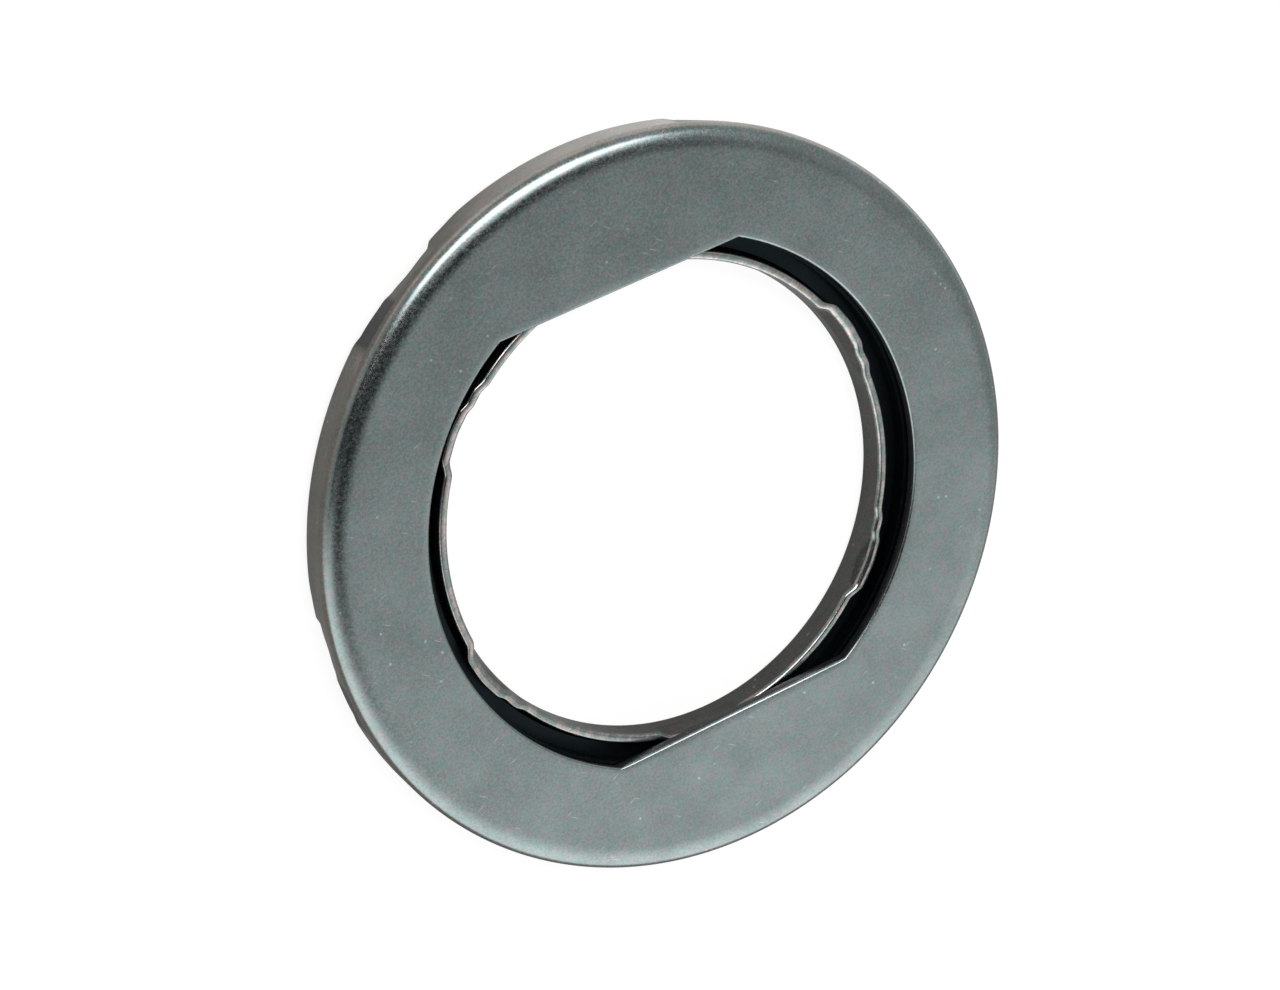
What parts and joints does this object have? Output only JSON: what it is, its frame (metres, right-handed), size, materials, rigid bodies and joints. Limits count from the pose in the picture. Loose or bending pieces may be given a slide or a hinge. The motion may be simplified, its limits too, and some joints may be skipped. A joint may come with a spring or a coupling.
{
  "type": "thrust needle roller bearing",
  "caption": "Flat enclosed thrust roller bearing: a front race with a double-D bore and an outer lip, a caged ring of needle rollers, and a rear race with an inner lip.",
  "frame": {"origin": "on the bearing's axis, in the plane of the rear race's thrust face, which it lies on", "axes": "+Z is the bearing's axis, pointing out of the front race; the two flats of the front race's bore lie along X, one towards +Y and one towards -Y"},
  "size_m": [0.0705, 0.0704, 0.0052],
  "materials": {
    "front_race_steel": "satin, hardened and tumbled, fine mottled grain",
    "rear_race_steel": "semi-bright, hardened and tumbled",
    "cage_steel": "dark oiled, pressed sheet",
    "roller_steel": "ground and polished bearing steel"
  },
  "bodies": {
    "rear_race": {"rear_race": "rear_race_steel"},
    "front_race": {"front_race": "front_race_steel"},
    "cage": {"cage": "cage_steel"},
    "needle_roller_01": {"needle_roller_01": "roller_steel"},
    "needle_roller_02": {"needle_roller_02": "roller_steel"},
    "needle_roller_03": {"needle_roller_03": "roller_steel"},
    "needle_roller_04": {"needle_roller_04": "roller_steel"},
    "needle_roller_05": {"needle_roller_05": "roller_steel"},
    "needle_roller_06": {"needle_roller_06": "roller_steel"},
    "needle_roller_07": {"needle_roller_07": "roller_steel"},
    "needle_roller_08": {"needle_roller_08": "roller_steel"},
    "needle_roller_09": {"needle_roller_09": "roller_steel"},
    "needle_roller_10": {"needle_roller_10": "roller_steel"},
    "needle_roller_11": {"needle_roller_11": "roller_steel"},
    "needle_roller_12": {"needle_roller_12": "roller_steel"},
    "needle_roller_13": {"needle_roller_13": "roller_steel"},
    "needle_roller_14": {"needle_roller_14": "roller_steel"},
    "needle_roller_15": {"needle_roller_15": "roller_steel"},
    "needle_roller_16": {"needle_roller_16": "roller_steel"},
    "needle_roller_17": {"needle_roller_17": "roller_steel"},
    "needle_roller_18": {"needle_roller_18": "roller_steel"},
    "needle_roller_19": {"needle_roller_19": "roller_steel"},
    "needle_roller_20": {"needle_roller_20": "roller_steel"},
    "needle_roller_21": {"needle_roller_21": "roller_steel"},
    "needle_roller_22": {"needle_roller_22": "roller_steel"},
    "needle_roller_23": {"needle_roller_23": "roller_steel"},
    "needle_roller_24": {"needle_roller_24": "roller_steel"},
    "needle_roller_25": {"needle_roller_25": "roller_steel"},
    "needle_roller_26": {"needle_roller_26": "roller_steel"},
    "needle_roller_27": {"needle_roller_27": "roller_steel"},
    "needle_roller_28": {"needle_roller_28": "roller_steel"},
    "needle_roller_29": {"needle_roller_29": "roller_steel"},
    "needle_roller_30": {"needle_roller_30": "roller_steel"},
    "needle_roller_31": {"needle_roller_31": "roller_steel"},
    "needle_roller_32": {"needle_roller_32": "roller_steel"},
    "needle_roller_33": {"needle_roller_33": "roller_steel"},
    "needle_roller_34": {"needle_roller_34": "roller_steel"},
    "needle_roller_35": {"needle_roller_35": "roller_steel"},
    "needle_roller_36": {"needle_roller_36": "roller_steel"},
    "needle_roller_37": {"needle_roller_37": "roller_steel"},
    "needle_roller_38": {"needle_roller_38": "roller_steel"},
    "needle_roller_39": {"needle_roller_39": "roller_steel"},
    "needle_roller_40": {"needle_roller_40": "roller_steel"},
    "needle_roller_41": {"needle_roller_41": "roller_steel"},
    "needle_roller_42": {"needle_roller_42": "roller_steel"},
    "needle_roller_43": {"needle_roller_43": "roller_steel"},
    "needle_roller_44": {"needle_roller_44": "roller_steel"},
    "needle_roller_45": {"needle_roller_45": "roller_steel"},
    "needle_roller_46": {"needle_roller_46": "roller_steel"},
    "needle_roller_47": {"needle_roller_47": "roller_steel"},
    "needle_roller_48": {"needle_roller_48": "roller_steel"}
  },
  "joints": [
    {"name": "front_race_spin", "type": "hinge", "parent": "rear_race", "child": "front_race", "pos_m": [0, 0, 0.0026], "axis": [0, 0, 1], "continuous": true},
    {"name": "cage_spin", "type": "hinge", "parent": "rear_race", "child": "cage", "pos_m": [0, 0, 0.0026], "axis": [0, 0, 1], "continuous": true},
    {"name": "needle_roller_01_roll", "type": "hinge", "parent": "cage", "child": "needle_roller_01", "pos_m": [0.02844, 0.00186, 0.0026], "axis": [0.9979, 0.0654, 0], "continuous": true},
    {"name": "needle_roller_02_roll", "type": "hinge", "parent": "cage", "child": "needle_roller_02", "pos_m": [0.02795, 0.00556, 0.0026], "axis": [0.9808, 0.1951, 0], "continuous": true},
    {"name": "needle_roller_03_roll", "type": "hinge", "parent": "cage", "child": "needle_roller_03", "pos_m": [0.02699, 0.00916, 0.0026], "axis": [0.9469, 0.3214, 0], "continuous": true},
    {"name": "needle_roller_04_roll", "type": "hinge", "parent": "cage", "child": "needle_roller_04", "pos_m": [0.02556, 0.01261, 0.0026], "axis": [0.8969, 0.4423, 0], "continuous": true},
    {"name": "needle_roller_05_roll", "type": "hinge", "parent": "cage", "child": "needle_roller_05", "pos_m": [0.0237, 0.01583, 0.0026], "axis": [0.8315, 0.5556, 0], "continuous": true},
    {"name": "needle_roller_06_roll", "type": "hinge", "parent": "cage", "child": "needle_roller_06", "pos_m": [0.02143, 0.01879, 0.0026], "axis": [0.7518, 0.6593, 0], "continuous": true},
    {"name": "needle_roller_07_roll", "type": "hinge", "parent": "cage", "child": "needle_roller_07", "pos_m": [0.01879, 0.02143, 0.0026], "axis": [0.6593, 0.7518, 0], "continuous": true},
    {"name": "needle_roller_08_roll", "type": "hinge", "parent": "cage", "child": "needle_roller_08", "pos_m": [0.01583, 0.0237, 0.0026], "axis": [0.5556, 0.8315, 0], "continuous": true},
    {"name": "needle_roller_09_roll", "type": "hinge", "parent": "cage", "child": "needle_roller_09", "pos_m": [0.01261, 0.02556, 0.0026], "axis": [0.4423, 0.8969, 0], "continuous": true},
    {"name": "needle_roller_10_roll", "type": "hinge", "parent": "cage", "child": "needle_roller_10", "pos_m": [0.00916, 0.02699, 0.0026], "axis": [0.3214, 0.9469, 0], "continuous": true},
    {"name": "needle_roller_11_roll", "type": "hinge", "parent": "cage", "child": "needle_roller_11", "pos_m": [0.00556, 0.02795, 0.0026], "axis": [0.1951, 0.9808, 0], "continuous": true},
    {"name": "needle_roller_12_roll", "type": "hinge", "parent": "cage", "child": "needle_roller_12", "pos_m": [0.00186, 0.02844, 0.0026], "axis": [0.0654, 0.9979, 0], "continuous": true},
    {"name": "needle_roller_13_roll", "type": "hinge", "parent": "cage", "child": "needle_roller_13", "pos_m": [-0.00186, 0.02844, 0.0026], "axis": [-0.0654, 0.9979, 0], "continuous": true},
    {"name": "needle_roller_14_roll", "type": "hinge", "parent": "cage", "child": "needle_roller_14", "pos_m": [-0.00556, 0.02795, 0.0026], "axis": [-0.1951, 0.9808, 0], "continuous": true},
    {"name": "needle_roller_15_roll", "type": "hinge", "parent": "cage", "child": "needle_roller_15", "pos_m": [-0.00916, 0.02699, 0.0026], "axis": [-0.3214, 0.9469, 0], "continuous": true},
    {"name": "needle_roller_16_roll", "type": "hinge", "parent": "cage", "child": "needle_roller_16", "pos_m": [-0.01261, 0.02556, 0.0026], "axis": [-0.4423, 0.8969, 0], "continuous": true},
    {"name": "needle_roller_17_roll", "type": "hinge", "parent": "cage", "child": "needle_roller_17", "pos_m": [-0.01583, 0.0237, 0.0026], "axis": [-0.5556, 0.8315, 0], "continuous": true},
    {"name": "needle_roller_18_roll", "type": "hinge", "parent": "cage", "child": "needle_roller_18", "pos_m": [-0.01879, 0.02143, 0.0026], "axis": [-0.6593, 0.7518, 0], "continuous": true},
    {"name": "needle_roller_19_roll", "type": "hinge", "parent": "cage", "child": "needle_roller_19", "pos_m": [-0.02143, 0.01879, 0.0026], "axis": [-0.7518, 0.6593, 0], "continuous": true},
    {"name": "needle_roller_20_roll", "type": "hinge", "parent": "cage", "child": "needle_roller_20", "pos_m": [-0.0237, 0.01583, 0.0026], "axis": [-0.8315, 0.5556, 0], "continuous": true},
    {"name": "needle_roller_21_roll", "type": "hinge", "parent": "cage", "child": "needle_roller_21", "pos_m": [-0.02556, 0.01261, 0.0026], "axis": [-0.8969, 0.4423, 0], "continuous": true},
    {"name": "needle_roller_22_roll", "type": "hinge", "parent": "cage", "child": "needle_roller_22", "pos_m": [-0.02699, 0.00916, 0.0026], "axis": [-0.9469, 0.3214, 0], "continuous": true},
    {"name": "needle_roller_23_roll", "type": "hinge", "parent": "cage", "child": "needle_roller_23", "pos_m": [-0.02795, 0.00556, 0.0026], "axis": [-0.9808, 0.1951, 0], "continuous": true},
    {"name": "needle_roller_24_roll", "type": "hinge", "parent": "cage", "child": "needle_roller_24", "pos_m": [-0.02844, 0.00186, 0.0026], "axis": [-0.9979, 0.0654, 0], "continuous": true},
    {"name": "needle_roller_25_roll", "type": "hinge", "parent": "cage", "child": "needle_roller_25", "pos_m": [-0.02844, -0.00186, 0.0026], "axis": [-0.9979, -0.0654, 0], "continuous": true},
    {"name": "needle_roller_26_roll", "type": "hinge", "parent": "cage", "child": "needle_roller_26", "pos_m": [-0.02795, -0.00556, 0.0026], "axis": [-0.9808, -0.1951, 0], "continuous": true},
    {"name": "needle_roller_27_roll", "type": "hinge", "parent": "cage", "child": "needle_roller_27", "pos_m": [-0.02699, -0.00916, 0.0026], "axis": [-0.9469, -0.3214, 0], "continuous": true},
    {"name": "needle_roller_28_roll", "type": "hinge", "parent": "cage", "child": "needle_roller_28", "pos_m": [-0.02556, -0.01261, 0.0026], "axis": [-0.8969, -0.4423, 0], "continuous": true},
    {"name": "needle_roller_29_roll", "type": "hinge", "parent": "cage", "child": "needle_roller_29", "pos_m": [-0.0237, -0.01583, 0.0026], "axis": [-0.8315, -0.5556, 0], "continuous": true},
    {"name": "needle_roller_30_roll", "type": "hinge", "parent": "cage", "child": "needle_roller_30", "pos_m": [-0.02143, -0.01879, 0.0026], "axis": [-0.7518, -0.6593, 0], "continuous": true},
    {"name": "needle_roller_31_roll", "type": "hinge", "parent": "cage", "child": "needle_roller_31", "pos_m": [-0.01879, -0.02143, 0.0026], "axis": [-0.6593, -0.7518, 0], "continuous": true},
    {"name": "needle_roller_32_roll", "type": "hinge", "parent": "cage", "child": "needle_roller_32", "pos_m": [-0.01583, -0.0237, 0.0026], "axis": [-0.5556, -0.8315, 0], "continuous": true},
    {"name": "needle_roller_33_roll", "type": "hinge", "parent": "cage", "child": "needle_roller_33", "pos_m": [-0.01261, -0.02556, 0.0026], "axis": [-0.4423, -0.8969, 0], "continuous": true},
    {"name": "needle_roller_34_roll", "type": "hinge", "parent": "cage", "child": "needle_roller_34", "pos_m": [-0.00916, -0.02699, 0.0026], "axis": [-0.3214, -0.9469, 0], "continuous": true},
    {"name": "needle_roller_35_roll", "type": "hinge", "parent": "cage", "child": "needle_roller_35", "pos_m": [-0.00556, -0.02795, 0.0026], "axis": [-0.1951, -0.9808, 0], "continuous": true},
    {"name": "needle_roller_36_roll", "type": "hinge", "parent": "cage", "child": "needle_roller_36", "pos_m": [-0.00186, -0.02844, 0.0026], "axis": [-0.0654, -0.9979, 0], "continuous": true},
    {"name": "needle_roller_37_roll", "type": "hinge", "parent": "cage", "child": "needle_roller_37", "pos_m": [0.00186, -0.02844, 0.0026], "axis": [0.0654, -0.9979, 0], "continuous": true},
    {"name": "needle_roller_38_roll", "type": "hinge", "parent": "cage", "child": "needle_roller_38", "pos_m": [0.00556, -0.02795, 0.0026], "axis": [0.1951, -0.9808, 0], "continuous": true},
    {"name": "needle_roller_39_roll", "type": "hinge", "parent": "cage", "child": "needle_roller_39", "pos_m": [0.00916, -0.02699, 0.0026], "axis": [0.3214, -0.9469, 0], "continuous": true},
    {"name": "needle_roller_40_roll", "type": "hinge", "parent": "cage", "child": "needle_roller_40", "pos_m": [0.01261, -0.02556, 0.0026], "axis": [0.4423, -0.8969, 0], "continuous": true},
    {"name": "needle_roller_41_roll", "type": "hinge", "parent": "cage", "child": "needle_roller_41", "pos_m": [0.01583, -0.0237, 0.0026], "axis": [0.5556, -0.8315, 0], "continuous": true},
    {"name": "needle_roller_42_roll", "type": "hinge", "parent": "cage", "child": "needle_roller_42", "pos_m": [0.01879, -0.02143, 0.0026], "axis": [0.6593, -0.7518, 0], "continuous": true},
    {"name": "needle_roller_43_roll", "type": "hinge", "parent": "cage", "child": "needle_roller_43", "pos_m": [0.02143, -0.01879, 0.0026], "axis": [0.7518, -0.6593, 0], "continuous": true},
    {"name": "needle_roller_44_roll", "type": "hinge", "parent": "cage", "child": "needle_roller_44", "pos_m": [0.0237, -0.01583, 0.0026], "axis": [0.8315, -0.5556, 0], "continuous": true},
    {"name": "needle_roller_45_roll", "type": "hinge", "parent": "cage", "child": "needle_roller_45", "pos_m": [0.02556, -0.01261, 0.0026], "axis": [0.8969, -0.4423, 0], "continuous": true},
    {"name": "needle_roller_46_roll", "type": "hinge", "parent": "cage", "child": "needle_roller_46", "pos_m": [0.02699, -0.00916, 0.0026], "axis": [0.9469, -0.3214, 0], "continuous": true},
    {"name": "needle_roller_47_roll", "type": "hinge", "parent": "cage", "child": "needle_roller_47", "pos_m": [0.02795, -0.00556, 0.0026], "axis": [0.9808, -0.1951, 0], "continuous": true},
    {"name": "needle_roller_48_roll", "type": "hinge", "parent": "cage", "child": "needle_roller_48", "pos_m": [0.02844, -0.00186, 0.0026], "axis": [0.9979, -0.0654, 0], "continuous": true}
  ],
  "couplings": [
    {"joint": "cage_spin", "follows": "front_race_spin", "ratio": 0.5},
    {"joint": "needle_roller_01_roll", "follows": "front_race_spin", "ratio": -11.4},
    {"joint": "needle_roller_02_roll", "follows": "front_race_spin", "ratio": -11.4},
    {"joint": "needle_roller_03_roll", "follows": "front_race_spin", "ratio": -11.4},
    {"joint": "needle_roller_04_roll", "follows": "front_race_spin", "ratio": -11.4},
    {"joint": "needle_roller_05_roll", "follows": "front_race_spin", "ratio": -11.4},
    {"joint": "needle_roller_06_roll", "follows": "front_race_spin", "ratio": -11.4},
    {"joint": "needle_roller_07_roll", "follows": "front_race_spin", "ratio": -11.4},
    {"joint": "needle_roller_08_roll", "follows": "front_race_spin", "ratio": -11.4},
    {"joint": "needle_roller_09_roll", "follows": "front_race_spin", "ratio": -11.4},
    {"joint": "needle_roller_10_roll", "follows": "front_race_spin", "ratio": -11.4},
    {"joint": "needle_roller_11_roll", "follows": "front_race_spin", "ratio": -11.4},
    {"joint": "needle_roller_12_roll", "follows": "front_race_spin", "ratio": -11.4},
    {"joint": "needle_roller_13_roll", "follows": "front_race_spin", "ratio": -11.4},
    {"joint": "needle_roller_14_roll", "follows": "front_race_spin", "ratio": -11.4},
    {"joint": "needle_roller_15_roll", "follows": "front_race_spin", "ratio": -11.4},
    {"joint": "needle_roller_16_roll", "follows": "front_race_spin", "ratio": -11.4},
    {"joint": "needle_roller_17_roll", "follows": "front_race_spin", "ratio": -11.4},
    {"joint": "needle_roller_18_roll", "follows": "front_race_spin", "ratio": -11.4},
    {"joint": "needle_roller_19_roll", "follows": "front_race_spin", "ratio": -11.4},
    {"joint": "needle_roller_20_roll", "follows": "front_race_spin", "ratio": -11.4},
    {"joint": "needle_roller_21_roll", "follows": "front_race_spin", "ratio": -11.4},
    {"joint": "needle_roller_22_roll", "follows": "front_race_spin", "ratio": -11.4},
    {"joint": "needle_roller_23_roll", "follows": "front_race_spin", "ratio": -11.4},
    {"joint": "needle_roller_24_roll", "follows": "front_race_spin", "ratio": -11.4},
    {"joint": "needle_roller_25_roll", "follows": "front_race_spin", "ratio": -11.4},
    {"joint": "needle_roller_26_roll", "follows": "front_race_spin", "ratio": -11.4},
    {"joint": "needle_roller_27_roll", "follows": "front_race_spin", "ratio": -11.4},
    {"joint": "needle_roller_28_roll", "follows": "front_race_spin", "ratio": -11.4},
    {"joint": "needle_roller_29_roll", "follows": "front_race_spin", "ratio": -11.4},
    {"joint": "needle_roller_30_roll", "follows": "front_race_spin", "ratio": -11.4},
    {"joint": "needle_roller_31_roll", "follows": "front_race_spin", "ratio": -11.4},
    {"joint": "needle_roller_32_roll", "follows": "front_race_spin", "ratio": -11.4},
    {"joint": "needle_roller_33_roll", "follows": "front_race_spin", "ratio": -11.4},
    {"joint": "needle_roller_34_roll", "follows": "front_race_spin", "ratio": -11.4},
    {"joint": "needle_roller_35_roll", "follows": "front_race_spin", "ratio": -11.4},
    {"joint": "needle_roller_36_roll", "follows": "front_race_spin", "ratio": -11.4},
    {"joint": "needle_roller_37_roll", "follows": "front_race_spin", "ratio": -11.4},
    {"joint": "needle_roller_38_roll", "follows": "front_race_spin", "ratio": -11.4},
    {"joint": "needle_roller_39_roll", "follows": "front_race_spin", "ratio": -11.4},
    {"joint": "needle_roller_40_roll", "follows": "front_race_spin", "ratio": -11.4},
    {"joint": "needle_roller_41_roll", "follows": "front_race_spin", "ratio": -11.4},
    {"joint": "needle_roller_42_roll", "follows": "front_race_spin", "ratio": -11.4},
    {"joint": "needle_roller_43_roll", "follows": "front_race_spin", "ratio": -11.4},
    {"joint": "needle_roller_44_roll", "follows": "front_race_spin", "ratio": -11.4},
    {"joint": "needle_roller_45_roll", "follows": "front_race_spin", "ratio": -11.4},
    {"joint": "needle_roller_46_roll", "follows": "front_race_spin", "ratio": -11.4},
    {"joint": "needle_roller_47_roll", "follows": "front_race_spin", "ratio": -11.4},
    {"joint": "needle_roller_48_roll", "follows": "front_race_spin", "ratio": -11.4}
  ]
}
